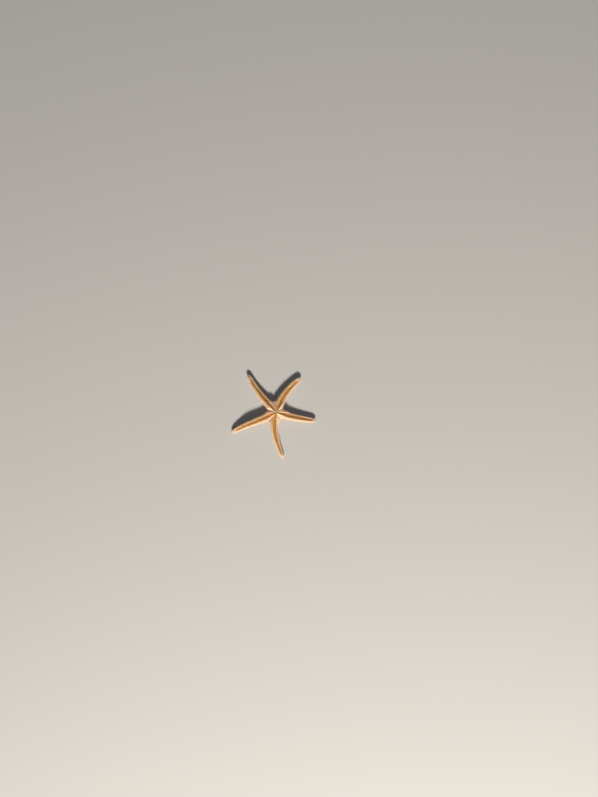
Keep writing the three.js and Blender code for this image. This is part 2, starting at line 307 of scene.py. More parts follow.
def along_arms(points):
    """For each point: its arm, its share of the arm's length, and its side and height there."""
    count = len(points)
    best = dict(arm=np.zeros(count, int), far=np.full(count, np.inf))
    for name in ("share", "side", "up"):
        best[name] = np.zeros(count)
    for index, arm in enumerate(ARM_LIST):
        line = arm["line"]
        way = np.stack([line["x"], line["y"]], -1)
        nearest = np.empty(count, int)
        for start in range(0, count, BATCH):
            part = points[start : start + BATCH, None, :2] - way[None]
            nearest[start : start + BATCH] = (part**2).sum(2).argmin(1)
        away = points[:, :2] - way[nearest]
        far = np.linalg.norm(away, axis=1)
        heading = line["heading"][nearest]
        ahead = away[:, 0] * np.cos(heading) + away[:, 1] * np.sin(heading)
        share = np.clip(line["share"][nearest] + ahead / arm["length"], 0, PAST_TIP)
        at = section(arm, share)
        flat = ((points[:, :2] - at["place"]) * at["across"]).sum(1)
        rise = points[:, 2] - at["middle"]
        side = flat * np.cos(at["roll"]) + rise * np.sin(at["roll"])
        up = -flat * np.sin(at["roll"]) + rise * np.cos(at["roll"])
        closer = far < best["far"]
        for name, value in dict(far=far, share=share, side=side, up=up).items():
            best[name] = np.where(closer, value, best[name])
        best["arm"] = np.where(closer, index, best["arm"])
    return best


def sections_of(found):
    """The section under each found point, whichever arm it is on."""
    merged = {}
    for index, arm in enumerate(ARM_LIST):
        at = section(arm, found["share"])
        own = found["arm"] == index
        for name, value in at.items():
            if name not in merged:
                merged[name] = np.zeros_like(value)
            merged[name][own] = value[own]
    return merged


# ---- The skin ---------------------------------------------------------------------------------

TUBE_FROM = 0.05        # an arm's tube starts at this share of its length, inside the disc
TUBE_SIDES, TUBE_STATIONS, TIP_STATIONS = 36, 30, 9
DISC_SIDES, DISC_STATIONS = 90, 25
ALMOST_POLE = 0.49 * np.pi          # the last ring stops just short of the pole
VALLEY_PAST = 1.15      # the valleys' cut runs on to this share of their length
ROUGH_SMOOTHING, SKIN_SMOOTHING = 10, 3


def extruded(name, rings):
    """A closed piece through rings of points: a filled circle, extruded ring by ring."""
    deselect()
    bpy.ops.mesh.primitive_circle_add(
        vertices=len(rings[0]), radius=MM, fill_type="NGON", location=(0, 0, 0)
    )
    ob = bpy.context.object
    ob.name = name
    bpy.ops.object.mode_set(mode="EDIT")
    bpy.ops.mesh.select_all(action="SELECT")
    for number, ring in enumerate(rings):
        if number:
            bpy.ops.mesh.extrude_region_move()
        face = next(f for f in bmesh.from_edit_mesh(ob.data).faces if f.select)
        for vertex, place in zip(face.verts, ring):
            vertex.co = Vector(place * MM)
        if number == 0:
            bpy.ops.mesh.duplicate()
            bpy.ops.mesh.flip_normals()
            first = [f for f in bmesh.from_edit_mesh(ob.data).faces if f.select]
            first[0].select_set(True)
    bpy.ops.mesh.select_all(action="SELECT")
    bpy.ops.mesh.remove_doubles(threshold=1e-7)
    bpy.ops.mesh.normals_make_consistent(inside=False)
    bpy.ops.object.mode_set(mode="OBJECT")
    return ob


def arm_tube(name, arm):
    even = np.linspace(TUBE_FROM, TIP_ROUND_FROM, TUBE_STATIONS)[:-1]
    skin_end = 1 - COAT / arm["length"]
    rounding = np.sin(np.linspace(0, ALMOST_POLE, TIP_STATIONS))
    rounding = mix(TIP_ROUND_FROM, skin_end, rounding)
    turn = np.linspace(0, 2 * np.pi, TUBE_SIDES, endpoint=False)
    rings = []
    for share in np.concatenate([even, rounding]):
        at = section(arm, np.full(len(turn), share))
        side, up = superellipse(turn, at["half"], at["top"], at["bottom"])
        rings.append(place_on(at, side, up))
    return extruded(name, rings)


def corners_between_arms():
    """The direction of the corner between each arm and the next, and half the gap there."""
    headings = []
    for arm in ARM_LIST:
        x, y = section(arm, DISC_CUT / arm["length"])["place"]
        headings.append(math.atan2(y, x))
    found = []
    for heading, after in zip(headings, headings[1:] + headings[:1]):
        gap = (after - heading) % (2 * math.pi)
        found.append((heading + gap / 2, gap / 2))
    return found


CORNERS = corners_between_arms()


def disc_reach(direction):
    """How far the disc's skin reaches from the mouth: the CAD's edge, moved in by the coat."""
    def off(corner):
        return abs(math.remainder(direction - corner[0], 2 * math.pi))

    corner = min(CORNERS, key=off)
    from_arm = max(0.0, corner[1] - off(corner))
    centre = (WEB_SIDE + WEB_FILLET) / math.sin(corner[1])
    side, fillet = WEB_SIDE - COAT, WEB_FILLET + COAT
    furthest = DISC_ARM_REACH - COAT
    if from_arm < math.atan2(side, centre * math.cos(corner[1])):
        return min(side / math.sin(from_arm + 1e-6), furthest)
    chord = math.sqrt(fillet**2 - (centre * math.sin(off(corner))) ** 2)
    return min(centre * math.cos(off(corner)) - chord, furthest)


def disc_body():
    directions = np.linspace(0, 2 * np.pi, DISC_SIDES, endpoint=False)
    reach = np.array([disc_reach(d) for d in directions])
    top = DISC_HEIGHT * SECTION_TOP
    bottom = DISC_HEIGHT - top
    rings = []
    for turn in np.linspace(-ALMOST_POLE, ALMOST_POLE, DISC_STATIONS):
        side, up = superellipse(turn, 1.0, top - COAT, bottom - COAT)
        dip = DISC_TOP_DIP * (1 - side) if turn > 0 else 0
        rings.append(ring(directions, reach * side, bottom - FLAT_SINK + up - dip))
    return extruded("disc_body", rings)


def groove_sizes(at, share):
    """Half the groove's width and its depth along an arm."""
    opened = smooth(share * at["length"], GROOVE_OPENS, GROOVE_FULL)
    end = 1 - GROOVE_END_GAP / at["length"]
    closed = 1 - smooth(share, end - GROOVE_RUN_OUT, end)
    half = mix(GROOVE_MOUTH_WIDTH, GROOVE_SHARE * at["width"], opened) / 2
    depth = GROOVE_DEPTH * at["height"] * closed
    return half, depth


def sink_groove(points):
    """Presses the grooves and the mouth into the skin."""
    found = along_arms(points)
    at = sections_of(found)
    half, depth = groove_sizes(at, found["share"])
    inside = np.clip(np.abs(found["side"]) / half, 0, 1)
    rim = at["top"] * (1 - RIM_FALL * inside**2)
    floor = rim - depth * (1 - inside**GROOVE_POWER)
    sunk = np.minimum(found["up"], floor)
    deeper = np.where((found["up"] > 0) & (inside < 1), found["up"] - sunk, 0)
    upright = direction_on(at, np.zeros(len(points)), np.ones(len(points)))
    points = points - deeper[:, None] * upright
    radius = np.linalg.norm(points[:, :2], axis=1)
    rim = DISC_HEIGHT - FLAT_SINK - DISC_TOP_DIP - COAT
    pit = rim - MOUTH_DEPTH * (1 - np.clip(radius / MOUTH_RADIUS, 0, 1) ** 4)
    hole = pit - MOUTH_HOLE_DEPTH * (1 - np.clip(radius / MOUTH_HOLE_RADIUS, 0, 1) ** 3)
    upper = (radius < MOUTH_RADIUS) & (points[:, 2] > MOUTH_SIDE)
    points[:, 2] = np.where(upper, np.minimum(points[:, 2], hole), points[:, 2])
    return points


def off_corner(points):
    """How far out points are in the nearest corner's direction, and how far to its side."""
    ways = np.array([(math.cos(d), math.sin(d)) for d, _ in CORNERS])
    out = points[:, :2] @ ways.T
    side = np.abs(points[:, 0:1] * ways[:, 1] - points[:, 1:2] * ways[:, 0])
    nearest = np.where(out > 0, side, np.inf).argmin(1)
    rows = np.arange(len(points))
    return out[rows, nearest], side[rows, nearest]


def sink_valleys(points):
    """Presses the valleys between the arms into the mouth side of the disc."""
    out, side = off_corner(points)
    share = (out - VALLEY_ENDS[0]) / (VALLEY_ENDS[1] - VALLEY_ENDS[0])
    floor = mix(*VALLEY_HEIGHTS, share) - COAT
    wall = np.sqrt(side**2 + VALLEY_FLOOR**2) - VALLEY_FLOOR
    limit = floor + wall / VALLEY_SLOPE
    inside = (share > 0) & (share < VALLEY_PAST) & (points[:, 2] > MOUTH_SIDE)
    points[:, 2] = np.where(inside, np.minimum(points[:, 2], limit), points[:, 2])
    return points


def make_skin():
    tubes = [arm_tube("arm_tube_" + name, arm) for name, arm in ARMS.items()]
    skin = disc_body()
    activate(skin)
    for tube in tubes:
        tube.select_set(True)
    bpy.ops.object.join()
    skin.name = "skin"
    apply_modifier(skin, "REMESH", mode="VOXEL", voxel_size=ROUGH_VOXEL * MM)
    apply_modifier(skin, "SMOOTH", factor=0.5, iterations=ROUGH_SMOOTHING)
    apply_modifier(skin, "REMESH", mode="VOXEL", voxel_size=SKIN_VOXEL * MM)
    set_points(skin, sink_valleys(sink_groove(points_of(skin))))
    apply_modifier(skin, "REMESH", mode="VOXEL", voxel_size=SKIN_VOXEL * MM)
    apply_modifier(skin, "SMOOTH", factor=0.5, iterations=SKIN_SMOOTHING)
    return skin


skin = make_skin()
bare_points = points_of(skin)
tree = BVHTree.FromPolygons(
    [Vector(p) for p in bare_points], [tuple(f.vertices) for f in skin.data.polygons]
)

# ---- Where the coat is rooted -------------------------------------------------------------------

UPWARDS = (0.0, 1.0)    # a direction on a section, as its side and its height
SWAY = 0.12             # how much a spine's lean along its arm varies, either way


def cast(origins, ways):
    """Where rays from inside the animal leave the skin, the skin's normal, and which rays did."""
    places, outs, kept = [], [], []
    for number, (origin, way) in enumerate(zip(origins, ways)):
        place, normal, _, _ = tree.ray_cast(Vector(origin), Vector(way))
        if place is None:
            continue
        places.append(place)
        outs.append(normal)
        kept.append(number)
    return np.array(places), np.array(outs), np.array(kept, int)


def stations(arm, ends, pitch, shift):
    """Shares of an arm's length a pitch apart. The ends are how far from the mouth they begin and
    how far before the tip they stop, and the shift is in pitches."""
    first, before_tip = ends
    return np.arange(first + shift * pitch, arm["length"] - before_tip, pitch) / arm["length"]


def spread(count, amount):
    return random.uniform(-amount, amount, count)


def batch(arm, share, start_side, way, lean):
    """Roots on the skin from rays across sections, which start low down, under the groove.
    way is the ray's side and up from there, and lean the growth's side, up and along."""
    at = section(arm, share)
    starts = place_on(at, start_side + 0 * share, -HEART * at["bottom"])
    ways = direction_on(at, *np.broadcast_arrays(*way, share)[:2])
    places, outs, kept = cast(starts, ways)
    side, up, ahead = (v[kept] for v in np.broadcast_arrays(*lean, share)[:3])
    at = section(arm, share[kept])
    growth = unit(direction_on(at, side, up) + level(at["along"]) * ahead[:, None])
    return dict(place=places, out=outs, growth=growth)


def gather(batches):
    return {name: np.concatenate([b[name] for b in batches]) for name in batches[0]}


def chosen(roots, keep):
    return {name: values[keep] for name, values in roots.items()}


def round_the_arm(arm, share, turn, ahead=0.0, upright=0.0):
    """Roots where the section's turn angle in degrees says: 0 at the left side, 90 at the top."""
    turn = np.radians(turn)
    at = section(arm, share)
    rise = np.where(np.sin(turn) > 0, at["top"], at["bottom"])
    way = (np.cos(turn) * at["half"], np.sin(turn) * rise + HEART * at["bottom"])
    lean = (np.cos(turn) / at["half"] * rise, np.sin(turn) + upright, ahead)
    return batch(arm, share, 0.0, way, lean)


def on_disc(x, y, up, lean_out):
    """Roots on the disc's upper or lower side, growing up or down and leaning from its middle."""
    flat = level(np.stack([x, y], -1))
    ways = np.tile([0.0, 0.0, 1.0 if up else -1.0], (len(x), 1))
    places, outs, kept = cast(flat + (0.0, 0.0, DISC_HEART), ways)
    growth = unit(ways[kept] + unit(flat[kept]) * lean_out)
    return dict(place=places, out=outs, growth=growth)


# The spines that fence the grooves: two to a plate, the inner ones upright over the tube feet
# and the outer ones leaning away from them. Each row has its distance from the groove's edge, its
# lean away from the groove and its shift in pitches.
FENCE_ENDS = (2.3, 1.9)
FENCE_ROWS = ((0.10, 0.02, 0.0), (0.48, 0.34, 0.5))
groove_rows = []
for arm in ARM_LIST:
    for sign in (-1, 1):
        for beyond, outward, shift in FENCE_ROWS:
            share = stations(arm, FENCE_ENDS, GROOVE_SPINE_PITCH, shift)
            edge = (groove_sizes(section(arm, share), share)[0] + beyond) * sign
            side = sign * outward + spread(len(share), 0.10)
            lean = (side, 1.0, spread(len(share), SWAY))
            groove_rows.append(batch(arm, share, edge, UPWARDS, lean))
groove_roots = gather(groove_rows)

# The longer spines of the five jaws, which close over the mouth: each ring's radius, its turn to
# both sides of the jaw's middle and how far its spines lean inwards.
JAW_RINGS = ((0.9, 0.28, 1.4), (1.25, 0.0, 2.0), (1.5, 0.34, 1.7), (1.75, 0.12, 1.5),
             (2.0, 0.36, 1.2), (2.3, 0.12, 1.0), (2.6, 0.34, 0.8), (3.0, 0.14, 0.6),
             (3.4, 0.27, 0.4))
jaw_rows = []
for direction, _ in CORNERS:
    for radius, off, inward in JAW_RINGS:
        angle = direction + off * np.array([-1.0, 1.0]) + spread(2, 0.05)
        x, y = radius * np.cos(angle), radius * np.sin(angle)
        jaw_rows.append(on_disc(x, y, up=True, lean_out=-inward))
jaw_roots = gather(jaw_rows)

# The combs of blunt spines along the ridges beside the grooves and along the arm's sides: each
# one's turn up from the arm's side in degrees and its lean towards the tip.
MARGIN_ROWS = ((50, 0.18), (42, 0.12), (34, 0.08), (25, 0.05), (16, 0.0), (5, 0.0), (-8, 0.0))
MARGIN_ENDS, MARGIN_SHIFT, MARGIN_UPRIGHT = (7.5, 1.2), 0.3, 0.12
BURIED = 0.35           # a spine that grows outwards less than this would lie in the skin
margin_rows = []
for arm in ARM_LIST:
    for sign in (-1, 1):
        for number, (turn, ahead) in enumerate(MARGIN_ROWS):
            share = stations(arm, MARGIN_ENDS, MARGIN_PITCH, MARGIN_SHIFT * number)
            angle = 90 - sign * (90 - turn) + spread(len(share), 3)
            ahead = ahead + spread(len(share), SWAY)
            row = round_the_arm(arm, share, angle, ahead, MARGIN_UPRIGHT)
            margin_rows.append(chosen(row, (row["growth"] * row["out"]).sum(1) > BURIED))
margin_roots = gather(margin_rows)

# The short spines of the walls and of the back, which is underneath.
BACK_TURNS = (-22, -38, -56, -74, -90, -106, -124, -142, -158)
BACK_ENDS = (12.0, 0.9)
back_rows = []
for arm in ARM_LIST:
    for number, turn in enumerate(BACK_TURNS):
        share = stations(arm, BACK_ENDS, BACK_PITCH, 0.5 * (number % 2))
        share = share + spread(len(share), 0.2) / arm["length"]
        turns = turn + spread(len(share), 5)
        back_rows.append(round_the_arm(arm, share, turns, spread(len(share), SWAY)))

LATTICE_STEPS = np.arange(-15, 16)
LATTICE_ROW = 0.866     # between rows, where the points of a row are 1 apart
EDGE_GAP = 0.3


def scattered(pitch, furthest, jitter):
    """Points of a loose three-way lattice inside the disc's edge."""
    x, y = np.meshgrid(LATTICE_STEPS, LATTICE_STEPS)
    x, y = (x + 0.5 * (y % 2)).ravel() * pitch, (y * LATTICE_ROW).ravel() * pitch
    x, y = x + spread(len(x), jitter), y + spread(len(y), jitter)
    reach = np.array([disc_reach(d) for d in np.arctan2(y, x)])
    keep = np.hypot(x, y) < np.minimum(reach - EDGE_GAP, furthest)
    return x[keep], y[keep]


x, y = scattered(pitch=1.15, furthest=12.2, jitter=0.22)
back_rows.append(on_disc(x, y, up=False, lean_out=0.1))

# The flanks of the disc, in the corners between the arms.
FLANK_HEIGHTS = (1.5, 2.4, 3.2, 4.0, 4.7, 5.3, 5.8)
FLANK_TURNS = np.radians(np.arange(-22, 23, 5.5))
FLANK_START, FLANK_STAGGER = 3.2, 0.06
FLANK_LEVEL, FLANK_TILT = 3.6, 0.16     # the height of the level ones, and the tilt for each mm
for direction, _ in CORNERS:
    for number, height in enumerate(FLANK_HEIGHTS):
        angle = direction + FLANK_TURNS + FLANK_STAGGER * (number % 2)
        angle = angle + spread(len(FLANK_TURNS), 0.02)
        ways = ring(angle, 1.0, 0.0)
        places, outs, kept = cast(ways * FLANK_START + (0.0, 0.0, height), ways)
        tilt = (0.0, 0.0, (height - FLANK_LEVEL) * FLANK_TILT)
        back_rows.append(dict(place=places, out=outs, growth=unit(outs + ways[kept] + tilt)))

# The rounded ends of the arms.
TIP_TURNS = np.radians(np.arange(-78, 79, 26))
TIP_RISES = np.radians((-52, -24, 4, 30, 52))
TIP_HEART = 2.6         # rays start this far before the tip
TIP_STAGGER = 0.2
for arm in ARM_LIST:
    share = np.full(len(TIP_TURNS), 1 - TIP_HEART / arm["length"])
    at = section(arm, share)
    for number, rise in enumerate(TIP_RISES):
        turn = (TIP_TURNS + TIP_STAGGER * (number % 2) - TIP_STAGGER / 2)[:, None]
        flat = level(at["along"]) * np.cos(turn) + level(at["across"]) * np.sin(turn)
        ways = flat * np.cos(rise) + np.array((0.0, 0.0, np.sin(rise)))
        places, outs, kept = cast(place_on(at, 0 * share, -HEART * at["bottom"]), ways)
        back_rows.append(dict(place=places, out=outs, growth=unit(ways[kept] + 0.5 * outs)))
back_roots = gather(back_rows)

# The webs between the arms, on the mouth side, carry blunt spines too. They keep clear of the
# grooves, the jaws, the valleys' lines and the combs.
GROOVE_CLEAR, JAW_CLEAR, VALLEY_CLEAR, COMB_CLEAR = 0.95, 3.8, 0.3, 0.5
x, y = scattered(pitch=0.98, furthest=11.9, jitter=0.16)
web = level(np.stack([x, y], -1))
found = along_arms(web)
half, _ = groove_sizes(sections_of(found), found["share"])
clear = np.abs(found["side"]) > half + GROOVE_CLEAR
clear = clear & (np.hypot(x, y) > JAW_CLEAR) & (off_corner(web)[1] > VALLEY_CLEAR)
web_roots = on_disc(x[clear], y[clear], up=True, lean_out=0.25)
free = nearest_distance(web_roots["place"], margin_roots["place"]) > COMB_CLEAR
margin_roots = gather([margin_roots, chosen(web_roots, free)])

# The tube feet, in four rows along each groove: each row's place between the groove's middle and
# its edge, and its shift in pitches.
FOOT_ENDS = (2.4, 3.1)
FOOT_ROWS = ((-0.66, 0.0), (-0.23, 0.5), (0.23, 0.0), (0.66, 0.5))
foot_rows = []
for arm in ARM_LIST:
    for offset, shift in FOOT_ROWS:
        share = stations(arm, FOOT_ENDS, FOOT_PITCH, shift)
        half, depth = groove_sizes(section(arm, share), share)
        lean = (offset * 0.25 + spread(len(share), 0.16), 1.0, spread(len(share), 0.2))
        row = batch(arm, share, half * offset, UPWARDS, lean)
        row["room"] = depth * (1 - abs(offset) ** GROOVE_POWER)
        foot_rows.append(row)
foot_roots = gather(foot_rows)

# The soft gills between the spines of the walls and the back.
GILL_ENDS, GILL_SHIFT = (12.3, 2.0), 0.37
GILL_TURNS = np.arange(-175, 0, 17.5)
gill_rows = []
for arm in ARM_LIST:
    for number, turn in enumerate(GILL_TURNS):
        share = stations(arm, GILL_ENDS, GILL_PITCH, GILL_SHIFT * number)
        share = share + spread(len(share), 0.25) / arm["length"]
        gill_rows.append(round_the_arm(arm, share, turn + spread(len(share), 7)))
gill_roots = gather(gill_rows)

# ---- The skin's relief, markings and unwrap ---------------------------------------------------

STRIP_START, STRIP_WIDTH = 1.5, 23.2    # an arm's strip, in millimetres before the chart's scale
STRIP_SPARE, STRIP_WIDEST = 3.4, 11.2   # added to half its girth, and the most of the two
UPPER_ROUND, LOWER_ROUND = (0.755, 0.26), (0.755, 0.74)     # the rounds' middles
ROUND_SCALE = 1.75
GIRTH = 2.2             # an arm's girth, from its half width and its mean half height


def chart_of(points, upper):
    """Places on the unwrap: a strip for each arm, and a round for each side of the disc."""
    found = along_arms(points)
    at = sections_of(found)
    turn = np.arctan2(found["side"], -found["up"]) / np.pi
    girth = GIRTH * (at["half"] + 0.5 * (at["top"] + at["bottom"]))
    strip_x = STRIP_START + found["share"] * at["length"]
    strip_y = STRIP_WIDTH / 2 + STRIP_WIDTH * found["arm"]
    strip_y = strip_y + turn * np.minimum(girth / 2 + STRIP_SPARE, STRIP_WIDEST)
    strip = np.stack([strip_x, strip_y], -1) * CHART_SCALE
    middle = np.where(upper[:, None], UPPER_ROUND, LOWER_ROUND)
    rounds = middle + points[:, :2] * ROUND_SCALE * CHART_SCALE
    on_disc_part = np.linalg.norm(points[:, :2], axis=1) < DISC_CUT
    return np.where(on_disc_part[:, None], rounds, strip)


RIDGE_BAND = 1.1        # the band of the pale skin round the mouth
LEAST_HALF, LEAST_TURN = 0.2, 0.3       # keep the shares finite where a groove ends
GROOVE_FLOOR = 0.1      # a groove's colour begins above this share of the arm's top


def marks_of(points):
    """Band across the arm (0 in the groove, 1 at its edge, 2 at the side, 3 along the back) and
    share along it."""
    found = along_arms(points)
    at = sections_of(found)
    half, _ = groove_sizes(at, found["share"])
    groove = np.clip(np.abs(found["side"]) / np.maximum(half, LEAST_HALF), 0, 1)
    turn = np.arctan2(found["up"], np.abs(found["side"]) + 1e-6)
    edge_turn = np.arctan2(at["top"], half)
    oral = 2 - np.clip(turn / np.maximum(edge_turn, LEAST_TURN), 0, 1)
    back = 2 - turn / (np.pi / 2)
    band = np.where(turn > 0, oral, back)
    in_groove = (found["up"] > GROOVE_FLOOR * at["top"]) & (groove < 1)
    band = np.where(in_groove, groove, band)
    radius = np.linalg.norm(points[:, :2], axis=1)
    at_mouth = (1 - smooth(radius, *MOUTH_PALE)) * (points[:, 2] > DISC_HEIGHT / 2)
    return dict(band=mix(band, np.maximum(band, RIDGE_BAND), at_mouth), share=found["share"])


# The skin swells into a low pad round each spine and sinks a little between them.
PAD_SWELL, PAD_SINK = 0.15, 0.05
PAD_WIDTH, PALE_WIDTH = 0.34, 0.3
spine_places = [roots["place"] for roots in (margin_roots, back_roots, groove_roots)]
nearest = nearest_distance(bare_points, np.concatenate(spine_places))
swell = PAD_SWELL * np.exp(-((nearest / PAD_WIDTH) ** 2)) - PAD_SINK
set_points(skin, bare_points + normals_of(skin) * swell[:, None])
for name, values in marks_of(bare_points).items():
    set_attribute(skin, name, values)
set_attribute(skin, "pad", np.exp(-((nearest / PALE_WIDTH) ** 2)))
skin.data.shade_smooth()

# ---- The shapes that the coat repeats -----------------------------------------------------------

TAPER_FROM = 0.15       # the coat grows smaller from this share of an arm's length
ALMOST_LEVEL = 0.05     # spines that rise or fall less than this need no shortening
FOOT_SHORTEST = 0.5     # the least depth of groove that a tube foot is made for
FOOT_OVER_EDGE = 0.12   # how far the feet stand over the groove's edge
BEND_ROOM = 0.1         # what a bent copy may stand higher, as a share of its bend


def shape(name, sides, profile):
    """One small closed shape, turned to a profile of radii and heights, with its own unwrap."""
    turn = np.linspace(0, 2 * np.pi, sides, endpoint=False)
    ob = extruded(name, [ring(turn, radius, height) for radius, height in profile])
    activate(ob)
    bpy.ops.object.mode_set(mode="EDIT")
    bpy.ops.mesh.select_all(action="SELECT")
    bpy.ops.uv.smart_project(island_margin=0.02)
    bpy.ops.object.mode_set(mode="OBJECT")
    mesh = ob.data
    uv = np.empty(len(mesh.loops) * 2)
    mesh.uv_layers.active.data.foreach_get("uv", uv)
    made = dict(
        points=points_of(ob),
        faces=[list(face.vertices) for face in mesh.polygons],
        uv=uv.reshape(-1, 2),
    )
    made["tip"] = np.clip(made["points"][:, 2], 0, 1)
    bpy.data.objects.remove(ob)
    return made


def varied(count, middle, amount):
    return middle * (1 + spread(count, amount))


def coat(name, form, roots, radius, length, thinning=(1, 1), shortening=(1, 1), bend=0.0,
         sunk=0.12):
    """A joined mesh with a copy of the form at each root. The radius and the length are each a
    middle value and the share by which it varies, and thinning and shortening are what they are
    multiplied by at an arm's root and at its tip."""
    count = len(roots["place"])
    marks = marks_of(roots["place"])
    outwards = smooth(marks["share"], TAPER_FROM, 1.0)
    radius = varied(count, *radius) * mix(*thinning, outwards)
    length = varied(count, *length) * mix(*shortening, outwards)
    growth = roots["growth"]
    base = roots["place"][:, 2]
    room = (base - FLOOR_GAP) / np.maximum(-growth[:, 2], 1e-6)
    length = np.where(growth[:, 2] < -ALMOST_LEVEL, np.minimum(length, room), length)
    room = (CEILING - base - BEND_ROOM * bend) / np.maximum(growth[:, 2], 1e-6)
    length = np.where(growth[:, 2] > ALMOST_LEVEL, np.minimum(length, room), length)
    spin = random.uniform(0, 2 * np.pi, count)[:, None]
    first, second = side_axes(growth)
    axis_a = first * np.cos(spin) + second * np.sin(spin)
    axis_b = np.cross(growth, axis_a)
    local = form["points"]
    start = roots["place"] - growth * sunk
    reach = (length + sunk)[:, None, None]
    thick = radius[:, None, None]
    points = start[:, None] + growth[:, None] * local[None, :, 2:3] * reach
    points = points + axis_a[:, None] * local[None, :, 0:1] * thick
    points = points + axis_b[:, None] * local[None, :, 1:2] * thick
    amount = random.uniform(0, bend, count)[:, None, None] if bend else 0.0
    points = points + axis_a[:, None] * amount * reach * local[None, :, 2:3] ** 2
    size = len(local)
    faces = [[v + start for v in face] for start in range(0, count * size, size)
             for face in form["faces"]]
    mesh = bpy.data.meshes.new(name)
    mesh.from_pydata((points.reshape(-1, 3) * MM).tolist(), [], faces)
    ob = bpy.data.objects.new(name, mesh)
    bpy.context.collection.objects.link(ob)
    for mark, values in marks.items():
        set_attribute(ob, mark, np.repeat(values, size))
    set_attribute(ob, "tip", np.tile(form["tip"], count))
    set_attribute(ob, "tint", np.repeat(random.uniform(0, 1, count), size))
    chart = chart_of(roots["place"], roots["out"][:, 2] > 0)
    uv = chart[:, None] + (form["uv"][None] - 0.5) * PATCH
    layer = mesh.uv_layers.new(name="OFBake")
    layer.data.foreach_set("uv", uv.ravel())
    mesh.shade_smooth()
    return ob


# Each profile's radii and heights are shares of a copy's radius and length.
blunt_spine = shape("blunt_spine", 6, (
    (1.15, 0.0), (0.95, 0.2), (0.86, 0.55), (1.0, 0.82), (0.72, 0.96), (0.25, 1.0)))
slim_spine = shape("slim_spine", 7, (
    (1.2, 0.0), (0.9, 0.22), (0.78, 0.6), (0.8, 0.85), (0.5, 0.97), (0.18, 1.0)))
short_spine = shape("short_spine", 6, (
    (1.3, 0.0), (0.95, 0.3), (0.85, 0.75), (0.55, 0.95), (0.2, 1.0)))
foot = shape("foot", 10, (
    (0.85, 0.0), (0.7, 0.4), (0.64, 0.8), (1.12, 0.91), (1.14, 0.97), (0.86, 1.0),
    (0.5, 0.96), (0.2, 0.9)))
gill = shape("gill", 5, ((1.0, 0.0), (0.9, 0.35), (0.85, 0.75), (0.4, 1.0)))
bead = shape("bead", 5, ((0.8, 0.0), (1.0, 0.55), (0.45, 1.0)))


groove_spines = coat(
    "groove_spines", slim_spine, groove_roots, (0.135, 0.12), (0.80, 0.12),
    shortening=(1.05, 0.8), bend=0.10,
)
jaw_spines = coat("jaw_spines", slim_spine, jaw_roots, (0.21, 0.08), (1.15, 0.12), bend=0.08)
margin_spines = coat(
    "margin_spines", blunt_spine, margin_roots, (0.20, 0.16), (0.78, 0.16),
    thinning=(1.05, 0.85), shortening=(1.05, 0.85), bend=0.06,
)
back_spines = coat("back_spines", short_spine, back_roots, (0.16, 0.2), (0.58, 0.2), bend=0.04)
tube_feet = coat(
    "tube_feet", foot, foot_roots,
    (0.30, 0.2), (np.maximum(foot_roots["room"], FOOT_SHORTEST) + FOOT_OVER_EDGE, 0.2),
    thinning=(1.0, 0.66), bend=0.42,
)
gills = coat("gills", gill, gill_roots, (0.095, 0.25), (0.34, 0.35), bend=0.25, sunk=0.06)


PINCER_LEAN = 0.35      # away from the spine in the middle


def wreath(roots, around, distance):
    """Roots in a ring round each root, for the little pincers."""
    rings = []
    out = roots["out"]
    first, second = side_axes(out)
    for number in range(around):
        angle = 2 * np.pi * number / around + spread(len(out), 0.4)[:, None]
        off = first * np.cos(angle) + second * np.sin(angle)
        place = roots["place"] + off * distance
        rings.append(dict(place=place, out=out, growth=unit(out + PINCER_LEAN * off)))
    return gather(rings)


pincer_roots = wreath(back_roots, around=3, distance=0.31)
pincers = coat("pincers", bead, pincer_roots, (0.095, 0.25), (0.20, 0.3))

# ---- The sieve plate and the eyespots -----------------------------------------------------------


def box_middle(node):
    low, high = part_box(node)
    return (np.array(low) + np.array(high)) / 2 / MM


SIEVE_SIDES = 72
SIEVE_RINGS = ((1.06, -0.25), (1.1, 0.0), (1.04, 0.2), (0.9, 0.3), (0.76, 0.35),
               (0.6, 0.38), (0.44, 0.4), (0.28, 0.41), (0.12, 0.42))
SIEVE_TOP = 0.45        # where the colour of its ridges is complete
FURROWS, FURROW_DEPTH = 16, 0.07


def make_sieve_plate():
    """The sieve plate: a low button with wandering furrows that run out to its rim."""
    heart = np.array([0.0, 0.0, SIEVE_HEART])
    place, out, _ = cast([heart], [unit(box_middle("madreporite") - heart)])
    axes = np.stack([*side_axes(out[0]), out[0]])
    turn = np.linspace(0, 2 * np.pi, SIEVE_SIDES, endpoint=False)
    rings = []
    for size, rise in SIEVE_RINGS:
        wander = turn + 0.5 * np.sin(3 * turn + 4 * size)
        furrow = FURROW_DEPTH * np.cos(FURROWS * wander)
        furrow = furrow * smooth(size, 0.1, 0.5) * smooth(rise, -0.1, 0.2)
        rings.append(place[0] + ring(turn, size, rise + furrow) @ axes)
    ob = extruded("sieve_plate", rings)
    up = (points_of(ob) - place[0]) @ axes[2]
    set_attribute(ob, "tip", np.clip(up / SIEVE_TOP, 0, 1))
    ob.data.shade_smooth()
    return ob


EYE_SIDES = 20
EYE_HEART = 1.5         # the eyespot's cushion starts this far before the arm's tip
# Each ring's radius, and its height as a share of the way to the CAD's eye.
EYE_STALK = ((0.7, -0.2), (0.68, 0.3))
# The same with the height from the CAD's eye in millimetres.
EYE_RINGS = ((0.5, -0.4), (0.34, -0.18), (0.27, -0.1), (0.26, 0.02), (0.19, 0.12), (0.07, 0.16))
EYE_RED = (-0.16, -0.06)                # the red begins between these heights from the CAD's eye
EYE_BAND = 1.6          # the band that the cushion takes its colour from


